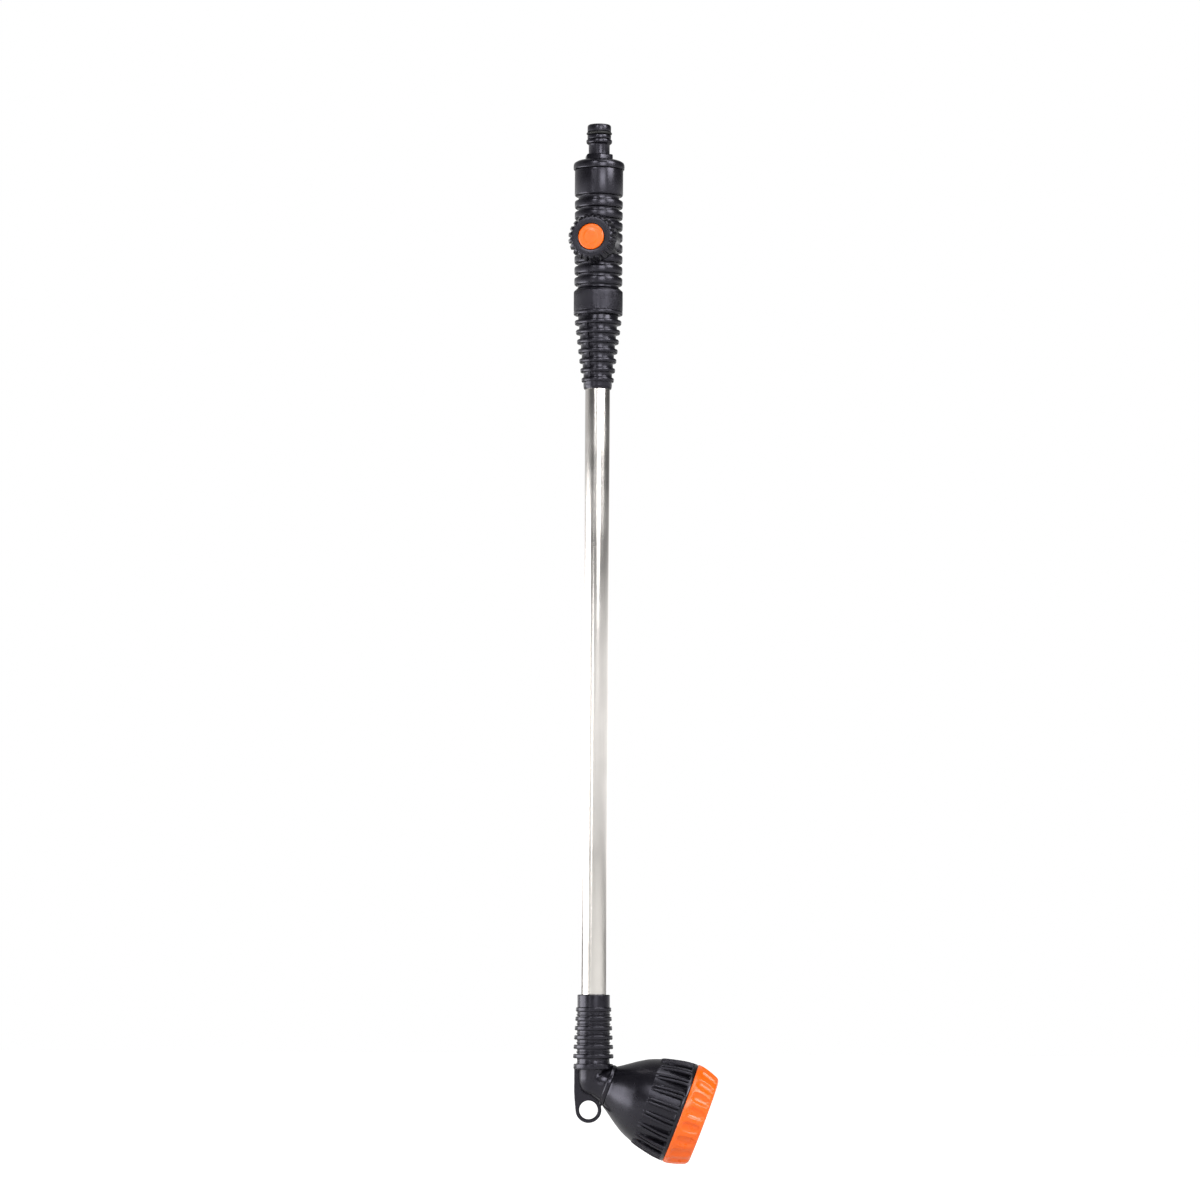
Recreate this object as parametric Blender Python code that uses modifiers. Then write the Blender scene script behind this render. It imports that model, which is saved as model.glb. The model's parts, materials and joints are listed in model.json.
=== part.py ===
"""Watering wand: a ribbed valve handle, a long aluminium lance and a shower rose.

The wand stands on its own axis. +Z runs up the tube towards the hose inlet, the origin is the
centre of the inlet's mouth, and +X is the side that the rose looks to. Lengths in this file are
millimetres, and MM turns them into Blender's metres.
"""
import math

import bmesh
import bpy
from mathutils import Matrix

MM = 0.001
GAP = 0.3                      # left between pieces that touch or run on each other
SIDES = 20                     # facets round a piece on the wand's axis
ROSE_SIDES = 32                # facets round the rose's shell, gasket and plate

# Hose inlet
WATERWAY_R = 5.2
NIPPLE_R = 8.0
NIPPLE_LOCK_R = 8.7
NIPPLE_NECK_R = 7.1
NIPPLE_NECK_END = -22.0
NIPPLE_SHANK_R = 8.4
NIPPLE_GROOVE = (6.6, -4.7, -7.3)     # radius, top and bottom
HEX_CIRCUMRADIUS = 10.1
HEX_TURN = 6.0                 # degrees from the front that one flat of the hexagon faces
HEX_TOP = -20.4
CAP_TOP = -24.4
SPIGOT_FLOOR = -37.0           # lower ends of the nipple and of the cap's spigot
CAP_R = 17.2
SOCKET_R = 12.9                # the body's threaded socket that the end cap screws into

# Valve body
BODY_TOP = -31.1
BODY_R = 16.3
BODY_BAND_END = -48.9          # where the smooth barrel gives way to the ribs
BODY_CORE_R = 13.75
BODY_RIB_R = 16.2
BODY_RIBS = 8
BODY_RIB_TOP = -51.9
BODY_RIB_PITCH = 7.47
BODY_RIB_WIDTH = 5.4
CHAMBER_R = 9.0                # bore that holds the seats and the ball
BODY_SHOULDER = -112.6         # the threaded spigot starts here
SPIGOT_THREAD_R = 14.9
SPIGOT_END = -121.5

# Ball valve and its knob; distances along the knob's axis are counted from the wand's axis
KNOB_Z = -79.7
KNOB_TURN = 11.0               # degrees that the knob looks round from the front, to -X
BALL_R = 8.2
BALL_BORE_R = 4.5
SEAT_HALF_SPAN = 7.7           # from the ball's centre to the back of a seat
BOSS_R = 15.6
BOSS_FACE = 19.6
BONNET_R = 7.0
STEM_R = 4.3
STEM_NECK_R = 3.3
STEM_GROOVE_R = 2.9
STEM_SQUARE = 5.2
O_RING_WIRE_R = 0.55
KNOB_R = 16.8                  # tips of the teeth at the back, where the knob is widest
KNOB_FLANK_R = 14.5            # tips of the teeth at the front
KNOB_FACE_R = 13.2
KNOB_TEETH = 22
KNOB_NOTCH = 1.2
KNOB_FACE_RISE = 0.8
KNOB_BACK = 20.0
KNOB_FRONT = 27.0
KNOB_WEB_FRONT = 25.0
KNOB_RECESS_R = 9.0

# Union nut between the valve body and the lance
NUT_R = 16.5
NUT_TOP = -112.9
NUT_BOTTOM = -129.6
NUT_LIP_TOP = -127.0
NUT_LIP_R = 13.75
FLANGE_TOP = -123.5
FLANGE_BOTTOM = -125.6

# Lance
TUBE_R = 8.3
TUBE_WALL = 1.0
TUBE_TOP = -142.0
TUBE_BOTTOM = -630.9
TAIL_R = 6.9
TAIL_BORE_R = 4.6
TAIL_GROOVE_R = 5.9
TAIL_O_RING_R = 6.6
TAIL_O_RING_WIRE_R = 0.4
GROOVE_HALF = 0.9              # half the width of a groove for an O-ring
SLEEVE_BORE_R = 8.6
TAPER_RIBS = 7
TAPER_FIRST_RIB = -134.7
TAPER_RIB_PITCH = 6.47
TAPER_RIB_WIDTH = 3.0
TAPER_RIB_R = (15.7, 10.9)     # first and last rib
TAPER_CORE_R = (13.4, 9.6)     # above the first rib and above the last one
TAPER_END = -179.6
HEAD_GRIP_TOP = -585.6
HEAD_GRIP_END = -631.2
HEAD_GRIP_RIBS = 6
HEAD_GRIP_FIRST_RIB = -595.5
HEAD_GRIP_RIB_PITCH = 6.2
HEAD_GRIP_RIB_WIDTH = 2.9
HEAD_GRIP_RIB_R = (11.8, 13.5)
HEAD_GRIP_CORE_R = 10.9

# Elbow and hanging ring
ELBOW_Z = -642.2               # where the wand's axis and the rose's axis cross
ELBOW_R = 10.0
ELBOW_COLLAR_R = 13.2
ELBOW_COLLAR = (-631.5, -635.2)
ROSE_TILT = 20.3               # degrees that the rose looks down from level
ROSE_SEAT = 11.7               # from the crossing of the axes to the face that the rose sits on
ROSE_SEAT_R = 14.2
ROSE_SEAT_WIDTH = 2.7
RING_CENTRE = (-3.0, -662.1)
RING_HOLE_R = 6.15
RING_R = 8.65
RING_THICKNESS = 3.0

# Rose; distances run along its axis from the face that it sits on
ROSE_NECK_R = 9.0              # the elbow's threaded neck inside the rose
ROSE_NECK_END = 11.0
ROSE_INLET_R = 5.4
RIM_R = 29.8
RIM_BORE_R = 27.4
RIM_END = 58.0
BEZEL_BACK = 50.4
BEZEL_FRONT = 66.8
BEZEL_BORE_R = 30.1
BEZEL_LIP_BACK = 61.2
BEZEL_WINDOW_R = 24.0
SCALLOPS = 20
SCALLOP_DEPTH = 1.3
PLATE_R = 29.7
PLATE_BACK = 59.9
PLATE_GAUGE = 1.0
PLATE_RISE = 2.0
SPRAY_HOLE_R = 0.8
SPRAY_RINGS = ((5.0, 6), (10.0, 12), (15.0, 18), (20.0, 24))     # radius and number of holes

BLACK = (0.020, 0.019, 0.024)
ORANGE = (1.0, 0.19, 0.03)
ALUMINIUM = (0.62, 0.60, 0.57)
STEEL = (0.55, 0.55, 0.54)
BRASS = (0.62, 0.43, 0.17)
RUBBER = (0.012, 0.012, 0.012)
PTFE = (0.80, 0.80, 0.77)


def clearScene():
    for obj in list(bpy.data.objects):
        bpy.data.objects.remove(obj, do_unlink=True)


def newCollection(name):
    collection = bpy.data.collections.new(name)
    bpy.context.scene.collection.children.link(collection)
    return collection


clearScene()
parts = newCollection("watering_wand")
guides = newCollection("cutters")


def newMaterial(name, colour, roughness, metallic):
    material = bpy.data.materials.new(name)
    material.use_nodes = True
    shader = material.node_tree.nodes["Principled BSDF"]
    shader.inputs["Base Color"].default_value = (*colour, 1.0)
    shader.inputs["Roughness"].default_value = roughness
    shader.inputs["Metallic"].default_value = metallic
    return material


def addAxis(name, height, rotation=(0.0, 0.0, 0.0)):
    """An empty on a joint's axis, with its own Z along the axis."""
    axis = bpy.data.objects.new(name, None)
    axis.location = (0.0, 0.0, height * MM)
    axis.rotation_euler = [math.radians(angle) for angle in rotation]
    axis.empty_display_size = 0.02
    parts.objects.link(axis)
    return axis


def place(obj, parent=None):
    """Takes an object out of its first collections and files it as a part."""
    for collection in list(obj.users_collection):
        collection.objects.unlink(obj)
    parts.objects.link(obj)
    obj.parent = parent
    return obj


def finish(obj, colour, roughness=0.45, metallic=0.0):
    """Gives a piece its material and smooth shading, and applies its modifiers."""
    bpy.context.view_layer.update()
    evaluated = obj.evaluated_get(bpy.context.evaluated_depsgraph_get())
    mesh = bpy.data.meshes.new_from_object(evaluated)
    obj.modifiers.clear()
    obj.data = mesh
    mesh.materials.clear()
    mesh.materials.append(newMaterial(obj.name, colour, roughness, metallic))
    mesh.shade_smooth()
    mesh.set_sharp_from_angle(angle=math.radians(32))
    return obj


def turned(name, outline, parent=None, sides=SIDES):
    """A solid of revolution. Points are (radius, height), down the outer side and up the inner;
    an outline that starts and ends on the axis is left open there."""
    onAxis = outline[0][0] == 0.0
    mesh = bpy.data.meshes.new(name)
    edges = [(i, i + 1) for i in range(len(outline) - 1)]
    if not onAxis:
        edges.append((len(outline) - 1, 0))
    mesh.from_pydata([(radius * MM, 0.0, height * MM) for radius, height in outline], edges, [])
    obj = bpy.data.objects.new(name, mesh)
    screw = obj.modifiers.new("Turn", "SCREW")
    screw.steps = sides
    screw.render_steps = sides
    screw.use_merge_vertices = True
    screw.merge_threshold = 0.00001
    return place(obj, parent)


def rod(name, radius, bottom, top, parent=None, sides=SIDES):
    bpy.ops.mesh.primitive_cylinder_add(vertices=sides, radius=radius * MM, depth=(top - bottom) * MM)
    obj = bpy.context.object
    obj.name = name
    obj.location = (0.0, 0.0, (top + bottom) / 2 * MM)
    return place(obj, parent)


def box(name, size, centre, parent=None):
    bpy.ops.mesh.primitive_cube_add(size=MM)
    obj = bpy.context.object
    obj.name = name
    obj.data.transform(Matrix.Diagonal((*size, 1.0)))
    obj.location = [value * MM for value in centre]
    return place(obj, parent)


def oRing(name, radius, wireRadius, height, parent=None):
    bpy.ops.mesh.primitive_torus_add(major_segments=SIDES, minor_segments=5,
                                     major_radius=radius * MM, minor_radius=wireRadius * MM)
    obj = bpy.context.object
    obj.name = name
    obj.location = (0.0, 0.0, height * MM)
    place(obj, parent)
    return finish(obj, RUBBER, roughness=0.6)


def washer(name, inner, outer, top, bottom, colour, parent=None, sides=SIDES, metallic=0.0):
    obj = turned(name, [(outer, top), (outer, bottom), (inner, bottom), (inner, top)], parent, sides)
    return finish(obj, colour, metallic=metallic)


def combine(obj, tool, operation):
    """Cuts or joins a piece with a guide solid, which stays in the file as a wire."""
    parts.objects.unlink(tool)
    guides.objects.link(tool)
    tool.hide_render = True
    tool.display_type = "WIRE"
    boolean = obj.modifiers.new(tool.name, "BOOLEAN")
    boolean.operation = operation
    boolean.object = tool
    boolean.solver = "EXACT"


def between(ends, index, count):
    """The value at one of count evenly spaced steps from ends[0] to ends[1]."""
    return ends[0] + (ends[1] - ends[0]) * index / (count - 1)


def groove(outer, inner, centre):
    """The corners of an O-ring's groove, from its top edge down."""
    top, bottom = centre + GROOVE_HALF, centre - GROOVE_HALF
    return [(outer, top), (inner, top), (inner, bottom), (outer, bottom)]


# ---- Hose inlet ---------------------------------------------------------------------------

def makeHoseNipple():
    grooveR, grooveTop, grooveEnd = NIPPLE_GROOVE
    nipple = turned("hose_nipple", [
        (7.2, 0.0), (NIPPLE_R, -0.8),
        (NIPPLE_R, grooveTop), (grooveR, grooveTop), (grooveR, grooveEnd), (NIPPLE_R, grooveEnd),
        (NIPPLE_R, -9.9), (NIPPLE_LOCK_R, -10.7), (NIPPLE_LOCK_R, -12.5),
        (NIPPLE_NECK_R, -13.7), (NIPPLE_NECK_R, NIPPLE_NECK_END), (NIPPLE_SHANK_R, NIPPLE_NECK_END),
        (NIPPLE_SHANK_R, SPIGOT_FLOOR), (WATERWAY_R, SPIGOT_FLOOR), (WATERWAY_R, 0.0)])
    hexagon = rod("nipple_hexagon", HEX_CIRCUMRADIUS, CAP_TOP + GAP, HEX_TOP, sides=6)
    hexagon.rotation_euler.z = math.radians(HEX_TURN)
    combine(hexagon, rod("hexagon_bore", NIPPLE_NECK_R - 0.5, CAP_TOP - 5, HEX_TOP + 5), "DIFFERENCE")
    combine(nipple, hexagon, "UNION")
    finish(nipple, BLACK)
    oRing("nipple_o_ring", 7.75, 0.85, (grooveTop + grooveEnd) / 2)


def makeEndCap():
    cap = turned("end_cap", [
        (11.0, CAP_TOP), (14.6, -25.1), (16.6, -26.2), (CAP_R, -27.6), (CAP_R, -30.5),
        (16.9, BODY_TOP + GAP), (SOCKET_R - GAP, BODY_TOP + GAP), (SOCKET_R - GAP, SPIGOT_FLOOR),
        (NIPPLE_SHANK_R + GAP, SPIGOT_FLOOR), (NIPPLE_SHANK_R + GAP, CAP_TOP)])
    finish(cap, BLACK)
    washer("cap_seal", 6.0, SOCKET_R - GAP, SPIGOT_FLOOR - GAP, SPIGOT_FLOOR - 1.8, RUBBER)


# ---- Valve body ---------------------------------------------------------------------------

def makeValveBody():
    seatBack = KNOB_Z - SEAT_HALF_SPAN
    outline = [(0.0, BODY_TOP), (BODY_R - 0.3, BODY_TOP), (BODY_R, BODY_TOP - 0.3),
               (BODY_R, BODY_BAND_END), (BODY_CORE_R, BODY_BAND_END)]
    for index in range(BODY_RIBS):
        top = BODY_RIB_TOP - index * BODY_RIB_PITCH
        bottom = top - BODY_RIB_WIDTH
        outline += [(BODY_CORE_R, top), (BODY_RIB_R, top), (BODY_RIB_R, bottom), (BODY_CORE_R, bottom)]
    outline += [(BODY_CORE_R, -111.2), (15.3, BODY_SHOULDER), (SPIGOT_THREAD_R, BODY_SHOULDER),
                (SPIGOT_THREAD_R, SPIGOT_END), (0.0, SPIGOT_END)]
    body = turned("valve_body", outline)
    combine(body, rod("boss", BOSS_R, 3.0, BOSS_FACE, knobAxis, sides=32), "UNION")
    socketFloor = -39.1
    waterway = turned("body_waterway", [
        (0.0, BODY_TOP + 2), (SOCKET_R, BODY_TOP + 2), (SOCKET_R, socketFloor),
        (CHAMBER_R, socketFloor), (CHAMBER_R, seatBack - GAP), (WATERWAY_R, seatBack - GAP),
        (WATERWAY_R, SPIGOT_END - 2), (0.0, SPIGOT_END - 2)])
    combine(body, waterway, "DIFFERENCE")
    stemBore = turned("stem_bore", [
        (0.0, BOSS_FACE + 2), (BONNET_R + GAP, BOSS_FACE + 2), (BONNET_R + GAP, 10.7),
        (STEM_NECK_R + GAP, 10.7), (STEM_NECK_R + GAP, 2.0), (0.0, 2.0)], knobAxis)
    combine(body, stemBore, "DIFFERENCE")
    finish(body, BLACK)
    washer("seat_carrier", WATERWAY_R, CHAMBER_R - GAP, socketFloor,
           KNOB_Z + SEAT_HALF_SPAN + GAP, BLACK)


def makeBallSeat(name, side):
    """A soft ring whose inner face follows the ball. side is 1 above the ball and -1 below."""
    pocketR = BALL_R + GAP
    face = []
    for index in range(4):
        radius = between((7.2, 5.4), index, 4)
        face.append((radius, math.sqrt(pocketR ** 2 - radius ** 2)))
    back = SEAT_HALF_SPAN
    outer = CHAMBER_R - GAP
    # Worked out for the seat above the ball, then turned over for the one below it.
    outline = [(outer, back), (outer, face[0][1])] + face + [(face[-1][0], back)]
    if side < 0:
        outline = [(radius, -height) for radius, height in reversed(outline)]
    seat = turned(name, [(radius, KNOB_Z + height) for radius, height in outline])
    finish(seat, PTFE, roughness=0.5)


# ---- Valve spindle: everything that turns with the knob -------------------------------------

def makeBall():
    bpy.ops.mesh.primitive_uv_sphere_add(segments=20, ring_count=12, radius=BALL_R * MM)
    ball = bpy.context.object
    ball.name = "valve_ball"
    place(ball, knobAxis)
    bore = rod("ball_bore", BALL_BORE_R, -12.0, 12.0, knobAxis, sides=16)
    bore.rotation_euler.x = math.radians(90)
    combine(ball, bore, "DIFFERENCE")
    combine(ball, box("ball_slot", (3.2, 6.2, 6.0), (0.0, 0.0, 8.7), knobAxis), "DIFFERENCE")
    finish(ball, PTFE, roughness=0.3)


def makeStem():
    grooves = (14.8, 17.4)
    outline = [(0.0, BOSS_FACE), (STEM_R, BOSS_FACE)]
    for centre in reversed(grooves):
        outline += groove(STEM_R, STEM_GROOVE_R, centre)
    outline += [(STEM_R, 12.4), (6.5, 12.4), (6.5, 11.0), (STEM_NECK_R, 11.0),
                (STEM_NECK_R, BALL_R + GAP), (0.0, BALL_R + GAP)]
    stem = turned("valve_stem", outline, knobAxis)
    tang = box("stem_tang", (2.6, 5.4, 3.5), (0.0, 0.0, 7.75), knobAxis)
    combine(stem, tang, "UNION")
    square = box("stem_square", (STEM_SQUARE, STEM_SQUARE, 6.1), (0.0, 0.0, 21.65), knobAxis)
    combine(stem, square, "UNION")
    combine(stem, rod("stem_screw_hole", 1.6, 16.0, 30.0, knobAxis, sides=12), "DIFFERENCE")
    finish(stem, BRASS, roughness=0.3, metallic=1.0)
    for name, centre in zip(("stem_o_ring_inner", "stem_o_ring_outer"), grooves):
        oRing(name, 3.75, O_RING_WIRE_R, centre, knobAxis)


def makeKnob():
    """A knob that widens to its back, notched between its teeth and sunk in front for its cap."""
    perTooth = 3
    knob = bpy.data.objects.new("valve_knob", bpy.data.meshes.new("valve_knob"))
    place(knob, knobAxis)
    shape = bmesh.new()
    rim = bmesh.ops.create_circle(shape, cap_ends=True, radius=KNOB_R * MM,
                                  segments=KNOB_TEETH * perTooth)["verts"]
    for index, vertex in enumerate(rim):
        if index % perTooth == 0:
            vertex.co.xy *= (KNOB_R - KNOB_NOTCH) / KNOB_R
    bmesh.ops.translate(shape, verts=rim, vec=(0.0, 0.0, KNOB_BACK * MM))
    front = shape.faces[:][0]
    bmesh.ops.reverse_faces(shape, faces=[front])
    grown = bmesh.ops.extrude_face_region(shape, geom=[front], use_keep_orig=True)
    front = [item for item in grown["geom"] if isinstance(item, bmesh.types.BMFace)][0]
    for vertex in front.verts:
        vertex.co.xy *= KNOB_FLANK_R / KNOB_R
        vertex.co.z = (KNOB_FRONT - KNOB_FACE_RISE) * MM
    for radius, height in ((KNOB_FACE_R, KNOB_FRONT), (KNOB_RECESS_R, KNOB_FRONT),
                           (KNOB_RECESS_R, KNOB_WEB_FRONT)):
        grown = bmesh.ops.extrude_face_region(shape, geom=[front])
        bmesh.ops.delete(shape, geom=[front], context="FACES")
        front = [item for item in grown["geom"] if isinstance(item, bmesh.types.BMFace)][0]
        for vertex in front.verts:
            vertex.co.xy *= radius * MM / vertex.co.xy.length
            vertex.co.z = height * MM
    bmesh.ops.recalc_face_normals(shape, faces=shape.faces)
    shape.to_mesh(knob.data)
    shape.free()
    squareHole = STEM_SQUARE + 2 * GAP
    combine(knob, box("knob_square", (squareHole, squareHole, 12.0), (0.0, 0.0, 22.0), knobAxis),
            "DIFFERENCE")
    finish(knob, BLACK)


def makeKnobCap():
    skirt = KNOB_RECESS_R - GAP
    cap = turned("knob_cap", [
        (0.0, 28.1), (4.0, 28.0), (7.0, 27.7), (8.2, 27.3), (skirt, 26.7), (skirt, KNOB_WEB_FRONT + GAP),
        (7.4, KNOB_WEB_FRONT + GAP), (7.4, 26.4), (0.0, 26.4)], knobAxis)
    finish(cap, ORANGE)
    headBack = KNOB_WEB_FRONT + GAP
    screw = turned("knob_screw", [
        (0.0, headBack + 0.7), (4.4, headBack + 0.7), (4.6, headBack), (1.3, headBack),
        (1.3, 17.0), (0.0, 16.4)], knobAxis)
    finish(screw, STEEL, roughness=0.3, metallic=1.0)


def makeBonnet():
    washer("stem_bonnet", STEM_R + GAP, BONNET_R, BOSS_FACE - GAP, 12.7, BLACK, knobAxis)


# ---- Union nut ------------------------------------------------------------------------------

def makeUnionNut():
    threadR = SPIGOT_THREAD_R + GAP
    nut = turned("union_nut", [
        (15.9, NUT_TOP), (NUT_R, NUT_TOP - 0.7), (NUT_R, NUT_BOTTOM + 0.6), (NUT_R - 0.5, NUT_BOTTOM),
        (NUT_LIP_R, NUT_BOTTOM), (NUT_LIP_R, NUT_LIP_TOP), (threadR, NUT_LIP_TOP), (threadR, NUT_TOP)])
    finish(nut, BLACK)
    washer("nut_slip_washer", NUT_LIP_R, SPIGOT_THREAD_R, FLANGE_BOTTOM - GAP, NUT_LIP_TOP + GAP, PTFE)
    washer("swivel_seal", WATERWAY_R, SPIGOT_THREAD_R - 0.4, SPIGOT_END - GAP, FLANGE_TOP + GAP, RUBBER)


# ---- Lance ----------------------------------------------------------------------------------

def makeTaperSleeve():
    count = TAPER_RIBS
    top = FLANGE_BOTTOM - GAP
    outline = [(TAPER_CORE_R[0], top)]
    for index in range(count):
        centre = TAPER_FIRST_RIB - index * TAPER_RIB_PITCH
        rib = between(TAPER_RIB_R, index, count)
        above = between(TAPER_CORE_R, index, count)
        below = between(TAPER_CORE_R, min(index + 1, count - 1), count)
        half = TAPER_RIB_WIDTH / 2
        outline += [(above, centre + half), (rib, centre + half), (rib, centre - half),
                    (below, centre - half)]
    outline += [(TAPER_CORE_R[1], TAPER_END + 1.2), (9.1, TAPER_END), (SLEEVE_BORE_R, TAPER_END),
                (SLEEVE_BORE_R, TUBE_TOP + 0.5), (11.3, TUBE_TOP + 0.5), (11.3, top)]
    finish(turned("taper_sleeve", outline), BLACK)


def makeTubeSpigot():
    grooveZ = -150.0
    tailEnd = -160.0
    outline = [
        (SPIGOT_THREAD_R, FLANGE_TOP), (SPIGOT_THREAD_R, FLANGE_BOTTOM), (11.0, FLANGE_BOTTOM),
        (11.0, TUBE_TOP + 0.8), (TAIL_R, TUBE_TOP + 0.8)]
    outline += groove(TAIL_R, TAIL_GROOVE_R, grooveZ)
    outline += [(TAIL_R, tailEnd + 1.0), (6.2, tailEnd), (TAIL_BORE_R, tailEnd), (TAIL_BORE_R, FLANGE_TOP)]
    finish(turned("tube_spigot", outline), BLACK)
    oRing("tube_o_ring", TAIL_O_RING_R, TAIL_O_RING_WIRE_R, grooveZ)


def makeLanceTube():
    bore = TUBE_R - TUBE_WALL
    washer("lance_tube", bore, TUBE_R, TUBE_TOP, TUBE_BOTTOM, ALUMINIUM, metallic=1.0)


def makeHeadGrip():
    count = HEAD_GRIP_RIBS
    core = HEAD_GRIP_CORE_R
    half = HEAD_GRIP_RIB_WIDTH / 2
    outline = [(core - 0.5, HEAD_GRIP_TOP), (core, HEAD_GRIP_TOP - 0.5)]
    for index in range(count):
        centre = HEAD_GRIP_FIRST_RIB - index * HEAD_GRIP_RIB_PITCH
        rib = between(HEAD_GRIP_RIB_R, index, count)
        outline += [(core, centre + half), (rib, centre + half), (rib, centre - half), (core, centre - half)]
    outline += [(core, HEAD_GRIP_END), (SLEEVE_BORE_R, HEAD_GRIP_END), (SLEEVE_BORE_R, HEAD_GRIP_TOP)]
    finish(turned("head_grip_sleeve", outline), BLACK)


# ---- Elbow with its hanging ring --------------------------------------------------------------

def circlePoints(centre, radius, start, end, count):
    """Points on an arc, in degrees from +X."""
    points = []
    for index in range(count):
        angle = math.radians(between((start, end), index, count))
        points.append((centre[0] + radius * math.cos(angle), centre[1] + radius * math.sin(angle)))
    return points


def makeHangingRing():
    """The flat tab and ring in the wand's plane of symmetry, as a mesh ready to be joined."""
    curve = bpy.data.curves.new("hanging_ring", "CURVE")
    curve.dimensions = "2D"
    curve.fill_mode = "BOTH"
    curve.extrude = RING_THICKNESS / 2 * MM
    outer = [(-2.0, -634.0), (-12.7, -634.0), (-12.7, -650.0), (-12.3, -656.0)]
    outer += circlePoints(RING_CENTRE, RING_R, 186, 360, 12)
    outer += [(4.8, -655.0), (2.0, -645.0)]
    hole = circlePoints(RING_CENTRE, RING_HOLE_R, 0, 340, 18)
    for points in (outer, hole):
        spline = curve.splines.new("POLY")
        spline.points.add(len(points) - 1)
        spline.use_cyclic_u = True
        for point, (x, z) in zip(spline.points, points):
            point.co = (x * MM, z * MM, 0.0, 1.0)
    flat = bpy.data.objects.new("hanging_ring_outline", curve)
    flat.rotation_euler.x = math.radians(90)
    parts.objects.link(flat)
    bpy.context.view_layer.update()
    evaluated = flat.evaluated_get(bpy.context.evaluated_depsgraph_get())
    mesh = bpy.data.meshes.new_from_object(evaluated)
    shape = bmesh.new()
    shape.from_mesh(mesh)
    bmesh.ops.remove_doubles(shape, verts=shape.verts, dist=0.00001)
    shape.to_mesh(mesh)
    shape.free()
    ring = bpy.data.objects.new("hanging_ring", mesh)
    ring.matrix_world = flat.matrix_world
    bpy.data.objects.remove(flat)
    return place(ring)


def makeElbow():
    tailTop = -606.0
    grooves = (-612.0, -620.0)
    outline = [(0.0, tailTop), (6.2, tailTop), (TAIL_R, tailTop - 1.0)]
    for centre in grooves:
        outline += groove(TAIL_R, TAIL_GROOVE_R, centre)
    outline += [(TAIL_R, ELBOW_COLLAR[0]), (ELBOW_COLLAR_R, ELBOW_COLLAR[0]),
                (ELBOW_COLLAR_R, ELBOW_COLLAR[1]), (ELBOW_R, ELBOW_COLLAR[1]),
                (ELBOW_R, ELBOW_Z - 2.0), (9.2, ELBOW_Z - 5.9), (6.4, ELBOW_Z - 8.6), (0.0, ELBOW_Z - 10.0)]
    elbow = turned("elbow_body", outline)
    branch = turned("elbow_branch", [
        (0.0, ROSE_NECK_END), (ROSE_NECK_R, ROSE_NECK_END), (ROSE_NECK_R, 0.0), (ROSE_SEAT_R, 0.0),
        (ROSE_SEAT_R, -ROSE_SEAT_WIDTH), (12.2, -ROSE_SEAT_WIDTH), (9.8, -ROSE_SEAT), (0.0, -ROSE_SEAT)],
        roseAxis)
    combine(elbow, branch, "UNION")
    combine(elbow, makeHangingRing(), "UNION")
    combine(elbow, rod("elbow_bore", TAIL_BORE_R, ELBOW_Z - 2.0, tailTop + 5, sides=16), "DIFFERENCE")
    combine(elbow, rod("branch_bore", TAIL_BORE_R + 0.2, -ROSE_SEAT, ROSE_NECK_END + 5, roseAxis, 16),
            "DIFFERENCE")
    finish(elbow, BLACK)
    for name, centre in zip(("elbow_o_ring_upper", "elbow_o_ring_lower"), grooves):
        oRing(name, TAIL_O_RING_R, TAIL_O_RING_WIRE_R, centre)


# ---- Rose -------------------------------------------------------------------------------------

def makeRoseShell():
    seal = ROSE_NECK_END + 1.6
    bore = ROSE_NECK_R + GAP
    outside = [(RIM_R, RIM_END), (RIM_R, BEZEL_BACK - GAP), (34.1, BEZEL_BACK - GAP), (33.6, 42.9),
               (32.0, 34.8), (29.5, 25.8), (25.9, 18.1), (22.0, 11.7), (19.0, 7.4), (15.9, 3.0),
               (ROSE_SEAT_R, GAP)]
    inside = [(bore, GAP), (bore, seal), (ROSE_INLET_R, seal), (ROSE_INLET_R, seal + 1.4),
              (11.3, seal + 1.4), (11.3, 3.5), (13.2, 3.5), (16.4, 7.4), (19.4, 11.7), (23.2, 18.1),
              (RIM_BORE_R, 27.0), (RIM_BORE_R, RIM_END)]
    finish(turned("rose_shell", outside + inside, roseAxis, ROSE_SIDES), BLACK)
    washer("rose_joint_washer", ROSE_INLET_R, ROSE_NECK_R - 0.1, seal - GAP, ROSE_NECK_END + GAP, RUBBER,
           roseAxis)


def makeRosePlate():
    back = PLATE_BACK
    front = back + PLATE_GAUGE
    foot = 23.5
    shoulder = 22.0
    plate = turned("rose_plate", [
        (0.0, front + PLATE_RISE - 1.0), (2.0, front + PLATE_RISE), (shoulder, front + PLATE_RISE),
        (foot, front), (PLATE_R, front), (PLATE_R, back), (foot, back), (shoulder, back + PLATE_RISE),
        (2.0, back + PLATE_RISE), (0.0, back + PLATE_RISE - 1.0)], roseAxis, ROSE_SIDES)
    holes = bpy.data.objects.new("spray_holes", bpy.data.meshes.new("spray_holes"))
    shape = bmesh.new()
    for radius, count in SPRAY_RINGS:
        for index in range(count):
            angle = 2 * math.pi * (index + 0.5) / count
            made = bmesh.ops.create_cone(shape, cap_ends=True, segments=5, radius1=SPRAY_HOLE_R * MM,
                                         radius2=SPRAY_HOLE_R * MM, depth=8 * MM)
            bmesh.ops.translate(shape, verts=made["verts"], vec=(
                radius * math.cos(angle) * MM, radius * math.sin(angle) * MM, (front + 1.0) * MM))
    shape.to_mesh(holes.data)
    shape.free()
    combine(plate, place(holes, roseAxis), "DIFFERENCE")
    finish(plate, STEEL, roughness=0.3, metallic=1.0)
    washer("rose_gasket", RIM_BORE_R, PLATE_R, PLATE_BACK - GAP, RIM_END + GAP, RUBBER, roseAxis, ROSE_SIDES)


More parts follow.
